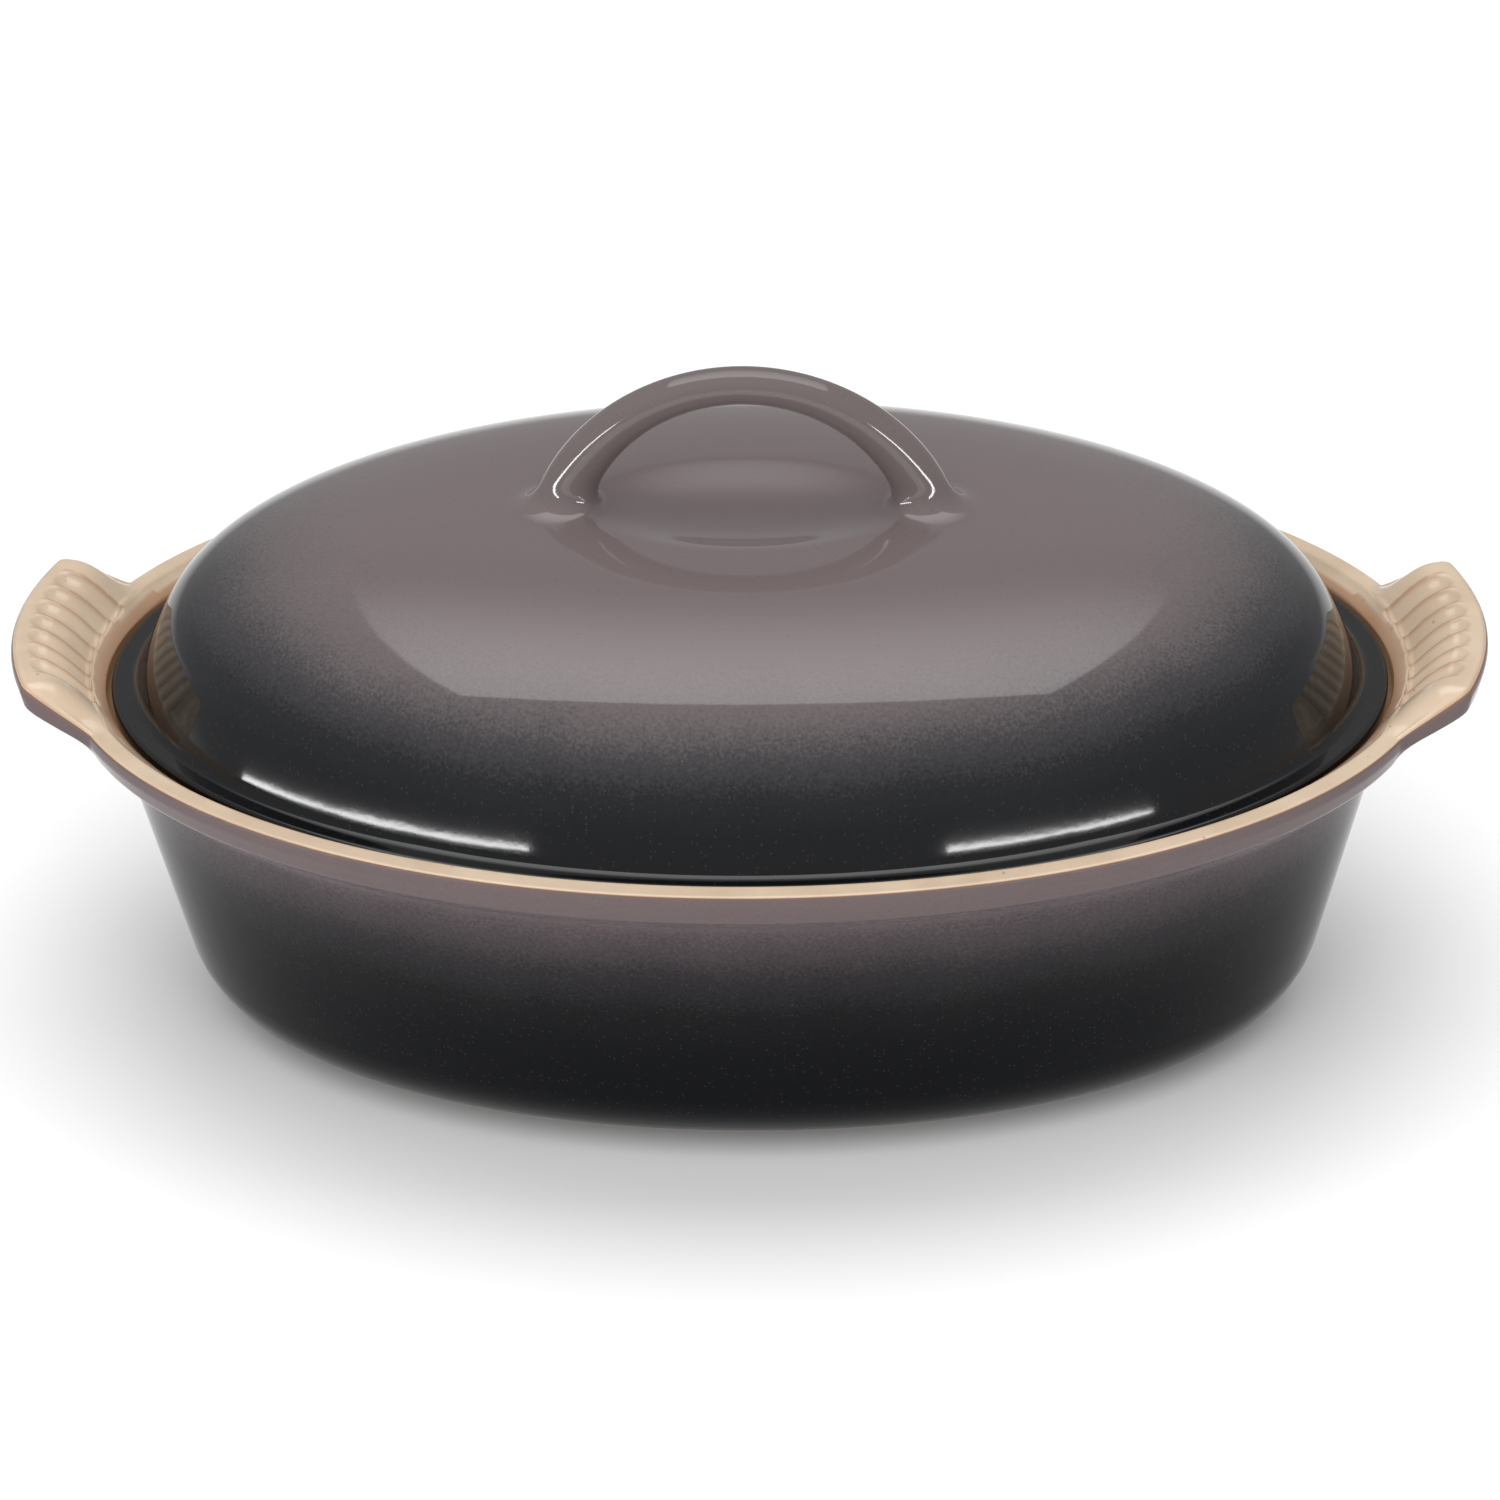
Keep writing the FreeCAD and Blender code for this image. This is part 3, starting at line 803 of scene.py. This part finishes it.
def make_sprayed_fade():
    """0 at the low height and 1 at the high one, with grain and drifts; Ends lowers it at both ends."""
    inputs = {"Low": 0.0, "High": 0.1, "Grain": 0.1, "Drift": 0.05, "Ends": 0.0}
    group, start, end = new_group("sprayed_fade", inputs, ["Fade"])
    coordinates = add_node(group, "ShaderNodeTexCoord", (-900, 300))
    split = add_node(group, "ShaderNodeSeparateXYZ", (-700, 300))
    group.links.new(coordinates.outputs["Object"], split.inputs[0])
    span = math_node(group, "SUBTRACT", start.outputs["High"], start.outputs["Low"], (-600, 100))
    along = math_node(group, "DIVIDE", split.outputs["X"], 0.15, (-600, 480))
    sideways = math_node(group, "ABSOLUTE", along, 0.0, (-500, 480))
    far_end = math_node(group, "MULTIPLY", math_node(group, "POWER", sideways, 3.0, (-400, 480)),
                        start.outputs["Ends"], (-300, 480))
    lowered = math_node(group, "SUBTRACT", split.outputs["Z"], far_end, (-550, 350))
    above = math_node(group, "SUBTRACT", lowered, start.outputs["Low"], (-450, 250))
    height = math_node(group, "DIVIDE", above, span, (-350, 200))
    grain = math_node(group, "SUBTRACT", noise_node(group, 1150.0, 3.0, (-600, -100)), 0.5, (-350, -100))
    drift = math_node(group, "SUBTRACT", noise_node(group, 38.0, 2.0, (-600, -350)), 0.5, (-350, -350))
    grain_part = math_node(group, "MULTIPLY", grain, start.outputs["Grain"], (-150, -100))
    drift_part = math_node(group, "MULTIPLY", drift, start.outputs["Drift"], (-150, -300))
    both = math_node(group, "ADD", grain_part, drift_part, (50, -150))
    total = math_node(group, "ADD", height, both, (250, 0))
    group.links.new(total, end.inputs["Fade"])
    return group


sprayed_fade = make_sprayed_fade()

# %% The iron pepper


def make_pepper():
    """Sparse small specks: 1 in a speck, 0 on clear glaze."""
    group, start, end = new_group("iron_pepper", {"Scale": 420.0, "Size": 0.2, "Share": 0.5}, ["Specks"])
    coordinates = add_node(group, "ShaderNodeTexCoord", (-900, 300))
    cells = add_node(group, "ShaderNodeTexVoronoi", (-500, 250))
    group.links.new(coordinates.outputs["Object"], cells.inputs["Vector"])
    group.links.new(start.outputs["Scale"], cells.inputs["Scale"])
    near = math_node(group, "LESS_THAN", cells.outputs["Distance"], start.outputs["Size"], (-250, 250))
    pick = add_node(group, "ShaderNodeSeparateColor", (-250, 50))
    group.links.new(cells.outputs["Color"], pick.inputs[0])
    chosen = math_node(group, "LESS_THAN", pick.outputs[0], start.outputs["Share"], (0, 50))
    group.links.new(math_node(group, "MULTIPLY", near, chosen, (250, 100)), end.inputs["Specks"])
    return group


iron_pepper = make_pepper()

# %% The flowed surface


def make_flow():
    """Height of a glaze that has flowed: long soft ripples with a little orange peel."""
    group, start, end = new_group("glaze_flow", {"Ripple": 1.0, "Peel": 0.3}, ["Height"])
    ripple = math_node(group, "MULTIPLY", noise_node(group, 55.0, 1.0, (-500, 200)), start.outputs["Ripple"],
                       (-100, 200))
    peel = math_node(group, "MULTIPLY", noise_node(group, 420.0, 2.0, (-500, -100)), start.outputs["Peel"],
                     (-100, -100))
    group.links.new(math_node(group, "ADD", ripple, peel, (200, 50)), end.inputs["Height"])
    return group


glaze_flow = make_flow()
print("groups:", [group.name for group in bpy.data.node_groups])

# %% [markdown]
# ## Glazes
# Every finish starts from the same recipe: a Principled shader, a flow bump and specks. Colours are
# written as sRGB numbers from 0 to 255, the way a colour picker shows them, and turned into the
# linear values that light works with.

# %% Recipe for a finish


def srgb(red, green, blue):
    """Linear colour from 0-255 sRGB numbers."""
    linear = []
    for value in (red, green, blue):
        share = value / 255.0
        linear.append(share / 12.92 if share <= 0.04045 else ((share + 0.055) / 1.055) ** 2.4)
    return (*linear, 1.0)


def place_group(tree, group, place, **values):
    """A group node with its own input values."""
    node = add_node(tree, "ShaderNodeGroup", place, node_tree=group)
    for name, value in values.items():
        node.inputs[name].default_value = value
    return node


def start_finish(name, roughness, specular, bump, ripple, peel):
    """A material with its shader and flow bump; the colour is still to come."""
    material = bpy.data.materials.new(name)
    material.use_nodes = True
    tree = material.node_tree
    shader = tree.nodes["Principled BSDF"]
    shader.inputs["Roughness"].default_value = roughness
    shader.inputs["Specular IOR Level"].default_value = specular
    flow = place_group(tree, glaze_flow, (-600, -500), Ripple=ripple, Peel=peel)
    relief = add_node(tree, "ShaderNodeBump", (-300, -500))
    relief.inputs["Strength"].default_value = bump
    relief.inputs["Distance"].default_value = 0.001
    tree.links.new(flow.outputs["Height"], relief.inputs["Height"])
    tree.links.new(relief.outputs["Normal"], shader.inputs["Normal"])
    return material, tree, shader


def ramp_node(tree, factor, stops, place):
    """A colour ramp through (position, colour) stops."""
    ramp = add_node(tree, "ShaderNodeValToRGB", place)
    elements = ramp.color_ramp.elements
    while len(elements) < len(stops):
        elements.new(0.5)
    for element, (position, colour) in zip(elements, stops):
        element.position = position
        element.color = colour
    tree.links.new(factor, ramp.inputs["Fac"])
    return ramp.outputs["Color"]


def mix_colour(tree, factor, under, over, place):
    """Two colours mixed; each is a socket or a colour."""
    node = add_node(tree, "ShaderNodeMix", place, data_type="RGBA")
    tree.links.new(factor, node.inputs["Factor"])
    for socket, value in ((node.inputs["A"], under), (node.inputs["B"], over)):
        if isinstance(value, tuple):
            socket.default_value = value
        else:
            tree.links.new(value, socket)
    return node.outputs["Result"]


# %% [markdown]
# ## The two fading glazes
# The dish is taupe at its band and almost black at its base. Its stops darken the crease and the lower
# wall more than the glaze does, so they also hold painted shade. The lid is taupe on its crown and almost
# black at its edge. Both are sprayed, so both use the fade group, each with its own heights and colour
# stops. The colours between the stops are what the eye sees as one long gradient.

# %% Fading glaze for the dish and the lid
CLAY_BROWN = srgb(128, 92, 66)


def fading_glaze(name, low, high, stops, grain, specular, rough, ends):
    """Sprayed glaze that changes with height, with pepper and a brown line at thin edges."""
    material, tree, shader = start_finish(name, rough, specular, 0.05, 0.6, 0.08)
    fade = place_group(tree, sprayed_fade, (-1400, 200), Low=low * MM, High=high * MM, Grain=grain,
                       Drift=0.07, Ends=ends * MM)
    places = [((z - low) / (high - low), srgb(*colour)) for z, colour in stops]
    colour = ramp_node(tree, fade.outputs["Fade"], places, (-1150, 200))
    dark = place_group(tree, iron_pepper, (-1150, -80), Scale=620.0, Size=0.2, Share=0.12)
    soft_dark = math_node(tree, "MULTIPLY", dark.outputs["Specks"], 0.16, (-900, -80))
    colour = mix_colour(tree, soft_dark, colour, srgb(30, 26, 26), (-800, 200))
    pale = place_group(tree, iron_pepper, (-1150, -280), Scale=870.0, Size=0.26, Share=0.22)
    soft_pale = math_node(tree, "MULTIPLY", pale.outputs["Specks"], 0.035, (-900, -280))
    colour = mix_colour(tree, soft_pale, colour, srgb(168, 156, 152), (-600, 200))
    thin = add_node(tree, "ShaderNodeAttribute", (-900, 450), attribute_name="thin_glaze")
    thin_part = math_node(tree, "MULTIPLY", thin.outputs["Fac"], 0.7, (-700, 450))
    colour = mix_colour(tree, thin_part, colour, CLAY_BROWN, (-400, 250))
    tree.links.new(colour, shader.inputs["Base Color"])
    return material


# The dish stops are the glaze's own taupe-to-black fade plus painted shade in the crease under the band and
# on the down-facing lower wall.
DISH_FADE_AND_SHADE_STOPS = [(0, (5, 6, 9)), (30, (6, 7, 10)), (42, (8, 9, 12)), (54, (17, 17, 19)), (67, (39, 37, 39)),
              (80, (70, 63, 66)), (90, (93, 82, 84)), (104, (100, 88, 88))]
LID_STOPS = [(97, (8, 9, 12)), (108, (9, 11, 14)), (117, (23, 24, 28)), (126, (54, 52, 54)),
             (134, (88, 81, 82)), (141, (100, 90, 91)), (149, (102, 91, 92)), (162, (98, 88, 88))]
dish_glaze = fading_glaze("dish_glaze_fade_and_shade", 0, 104, DISH_FADE_AND_SHADE_STOPS, 0.16, 0.09, 0.1, 0.0)
lid_glaze = fading_glaze("lid_glaze_fade", 97, 162, LID_STOPS, 0.2, 0.45, 0.06, 8.0)
dish_body.data.materials.append(dish_glaze)
lid_skin.data.materials.append(lid_glaze)
print("fading glazes:", dish_glaze.name, lid_glaze.name)

# %% [markdown]
# ## The cream glaze
# The lining is a warm cream that breaks to toffee brown on edges. Down the gallery to the ledge it turns a
# darker toffee, partly thinner glaze and partly painted shade under the lid's edge. Slow mottling and a few
# specks keep it from looking like plastic.

# %% Cream glaze


def make_cream():
    """Warm cream glaze with brown edges, mottling, a few iron specks and a gallery darkened by thinner glaze
    and painted shade.
    """
    material, tree, shader = start_finish("cream_glaze_warm", 0.14, 0.5, 0.06, 1.0, 0.3)
    mottle = noise_node(tree, 60.0, 4.0, (-1400, 200))
    colour = ramp_node(tree, mottle, [(0.3, srgb(188, 166, 142)), (0.7, srgb(203, 183, 160))], (-1150, 200))
    specks = place_group(tree, iron_pepper, (-1150, -80), Scale=300.0, Size=0.13, Share=0.12)
    soft_specks = math_node(tree, "MULTIPLY", specks.outputs["Specks"], 0.45, (-900, -80))
    colour = mix_colour(tree, soft_specks, colour, srgb(120, 84, 58), (-750, 200))
    thin = add_node(tree, "ShaderNodeAttribute", (-900, 450), attribute_name="thin_glaze")
    thin_part = math_node(tree, "MULTIPLY", thin.outputs["Fac"], 0.62, (-700, 450))
    colour = mix_colour(tree, thin_part, colour, srgb(150, 104, 70), (-450, 250))
    # Painted shade and thinner glaze: the gallery mask darkens the cream to toffee.
    gallery_shade_and_thin_glaze = add_node(tree, "ShaderNodeAttribute", (-450, 500), attribute_name="gallery_shade_and_thin_glaze")
    gallery_shade_part = math_node(tree, "MULTIPLY", gallery_shade_and_thin_glaze.outputs["Fac"], 0.75, (-300, 500))
    colour = mix_colour(tree, gallery_shade_part, colour, srgb(160, 116, 82), (-150, 300))
    tree.links.new(colour, shader.inputs["Base Color"])
    return material


cream_glaze = make_cream()
dish_lining.data.materials.append(cream_glaze)
lid_lining.data.materials.append(cream_glaze)

# %% [markdown]
# ## Bare stoneware
# The foot ring and the lid's seat are unglazed: sandy, matte and slightly uneven. The same flow group
# with strong peel stands in for the grain of the clay.

# %% Bare stoneware


def make_bare():
    """Matte, sandy fired clay."""
    material, tree, shader = start_finish("bare_stoneware_sandy", 0.8, 0.3, 0.5, 0.2, 1.0)
    sand = noise_node(tree, 700.0, 4.0, (-1200, 200))
    colour = ramp_node(tree, sand, [(0.35, srgb(168, 148, 124)), (0.65, srgb(196, 178, 154))], (-950, 200))
    specks = place_group(tree, iron_pepper, (-950, -80), Scale=420.0, Size=0.2, Share=0.2)
    soft_specks = math_node(tree, "MULTIPLY", specks.outputs["Specks"], 0.5, (-700, -80))
    colour = mix_colour(tree, soft_specks, colour, srgb(96, 74, 56), (-500, 200))
    tree.links.new(colour, shader.inputs["Base Color"])
    return material


bare_stoneware = make_bare()
foot_ring.data.materials.append(bare_stoneware)
lid_seat.data.materials.append(bare_stoneware)

# %% [markdown]
# ## The studio
# Gloss only looks like gloss when it has something to mirror. A wide soft light hangs above and behind
# the dish; it is brightest at its front edge, which draws the curved boundary on the dome. Two long low
# strips in front, left and right, draw the narrow highlights on the handle and at the lid's foot. The
# floor is plain and pale.

# %% Floor and world
floor_mesh = bpy.data.meshes.new("studio_floor")
FLOOR_HALF = 6.0
floor_signs = ((-1, -1), (1, -1), (1, 1), (-1, 1))
floor_mesh.from_pydata([(x * FLOOR_HALF, y * FLOOR_HALF, 0) for x, y in floor_signs], [], [(0, 1, 2, 3)])
floor = bpy.data.objects.new("studio_floor", floor_mesh)
bpy.context.collection.objects.link(floor)
floor_paper = bpy.data.materials.new("floor_paper")
floor_paper.use_nodes = True
paper = floor_paper.node_tree.nodes["Principled BSDF"]
paper.inputs["Base Color"].default_value = (0.94, 0.94, 0.94, 1.0)
paper.inputs["Roughness"].default_value = 0.9
paper.inputs["Specular IOR Level"].default_value = 0.1
floor_mesh.materials.append(floor_paper)

world = bpy.data.worlds.new("studio_air")
bpy.context.scene.world = world
world.use_nodes = True
world.node_tree.nodes["Background"].inputs["Color"].default_value = (1.0, 1.0, 1.0, 1.0)
world.node_tree.nodes["Background"].inputs["Strength"].default_value = 0.45

# %% Soft lights


def soft_light(name, place, target, width, height, radiance, roll=0.0):
    """A rectangular light of even brightness, turned towards a target and rolled by some degrees."""
    lamp = bpy.data.lights.new(name, "AREA")
    lamp.shape = "RECTANGLE"
    lamp.size = width
    lamp.size_y = height
    lamp.energy = radiance * math.pi * width * height
    holder = bpy.data.objects.new(name, lamp)
    holder.location = place
    facing = (Vector(target) - Vector(place)).to_track_quat("-Z", "Y").to_matrix()
    holder.rotation_euler = (facing @ Matrix.Rotation(math.radians(roll), 3, "Z")).to_euler()
    bpy.context.collection.objects.link(holder)
    return holder


DISH_MIDDLE = (0.0, 0.0, 0.09)
LID_FOOT = (0.0, 0.0, 0.12)
STRIP_HEIGHT = 0.1
STRIP_RADIANCE = 22.0
low_left = soft_light("low_left", (-1.315, -0.999, 0.230), LID_FOOT, 1.6, STRIP_HEIGHT, STRIP_RADIANCE, 10.5)
low_right = soft_light("low_right", (1.01, -1.23, 0.296), LID_FOOT, 0.9, STRIP_HEIGHT, STRIP_RADIANCE, -8.0)
fill = soft_light("front_fill", (0.0, -1.5, 2.0), DISH_MIDDLE, 2.4, 1.6, 2.2)
fill.visible_glossy = False
print("lights:", low_left.name, low_right.name, fill.name)

# %% The wide light above
BOX_FRONT = -0.37
BOX_BACK = 2.1
BOX_HALF = 0.88
BOX_HEIGHT = 1.64
box_mesh = bpy.data.meshes.new("overhead_box")
box_mesh.from_pydata([(-BOX_HALF, BOX_FRONT, 0), (BOX_HALF, BOX_FRONT, 0),
                      (BOX_HALF, BOX_BACK, 0), (-BOX_HALF, BOX_BACK, 0)], [], [(3, 2, 1, 0)])
overhead = bpy.data.objects.new("overhead_box", box_mesh)
overhead.location = (0.0, 0.0, BOX_HEIGHT)
bpy.context.collection.objects.link(overhead)
box_glow = bpy.data.materials.new("overhead_glow")
box_glow.use_nodes = True
glow_tree = box_glow.node_tree
glow_tree.nodes.clear()
along = add_node(glow_tree, "ShaderNodeTexCoord", (-800, 0))
parts = add_node(glow_tree, "ShaderNodeSeparateXYZ", (-600, 0))
glow_tree.links.new(along.outputs["Object"], parts.inputs[0])
fall = add_node(glow_tree, "ShaderNodeMapRange", (-400, 0), interpolation_type="SMOOTHSTEP")
glow_tree.links.new(parts.outputs["Y"], fall.inputs["Value"])
for name, value in (("From Min", -0.2), ("From Max", 1.7), ("To Min", 3.3), ("To Max", 0.4)):
    fall.inputs[name].default_value = value
glow = add_node(glow_tree, "ShaderNodeEmission", (-200, 0))
glow_tree.links.new(fall.outputs["Result"], glow.inputs["Strength"])
glow_end = add_node(glow_tree, "ShaderNodeOutputMaterial", (0, 0))
glow_tree.links.new(glow.outputs["Emission"], glow_end.inputs["Surface"])
box_mesh.materials.append(box_glow)
print("overhead box:", BOX_HALF * 2, "by", round(BOX_BACK - BOX_FRONT, 2), "metres")

# %% [markdown]
# ## The camera
# The camera looks down on the dish from the front, a little from the right, with a long lens, so the
# oval stays calm and the far grip is nearly as large as the near one.

# %% Camera
CAMERA_TILT = 0.537
CAMERA_TURN = 0.045
CAMERA_ROLL = -0.02
CAMERA_DISTANCE = 1.5423
LENS = 139.2
AIM = Vector((0.0001, 0.0, 0.0743))
back = Vector((math.sin(CAMERA_TURN) * math.cos(CAMERA_TILT), -math.cos(CAMERA_TURN) * math.cos(CAMERA_TILT),
               math.sin(CAMERA_TILT)))
level = Vector((math.cos(CAMERA_TURN), math.sin(CAMERA_TURN), 0.0))
rising = back.cross(level)
right = level * math.cos(CAMERA_ROLL) + rising * math.sin(CAMERA_ROLL)
upward = rising * math.cos(CAMERA_ROLL) - level * math.sin(CAMERA_ROLL)
camera_data = bpy.data.cameras.new("studio_camera")
camera_data.lens = LENS
camera = bpy.data.objects.new("studio_camera", camera_data)
bpy.context.collection.objects.link(camera)
turned_to = Matrix((right, upward, back)).transposed().to_4x4()
camera.matrix_world = Matrix.Translation(AIM + back * CAMERA_DISTANCE) @ turned_to
bpy.context.scene.camera = camera
bpy.context.scene.view_settings.view_transform = "Standard"
print("camera at", [round(v, 3) for v in camera.matrix_world.translation])

# %% [markdown]
# ## Finish
# The view layer is brought up to date once more.

# %% Finish
bpy.context.view_layer.update()
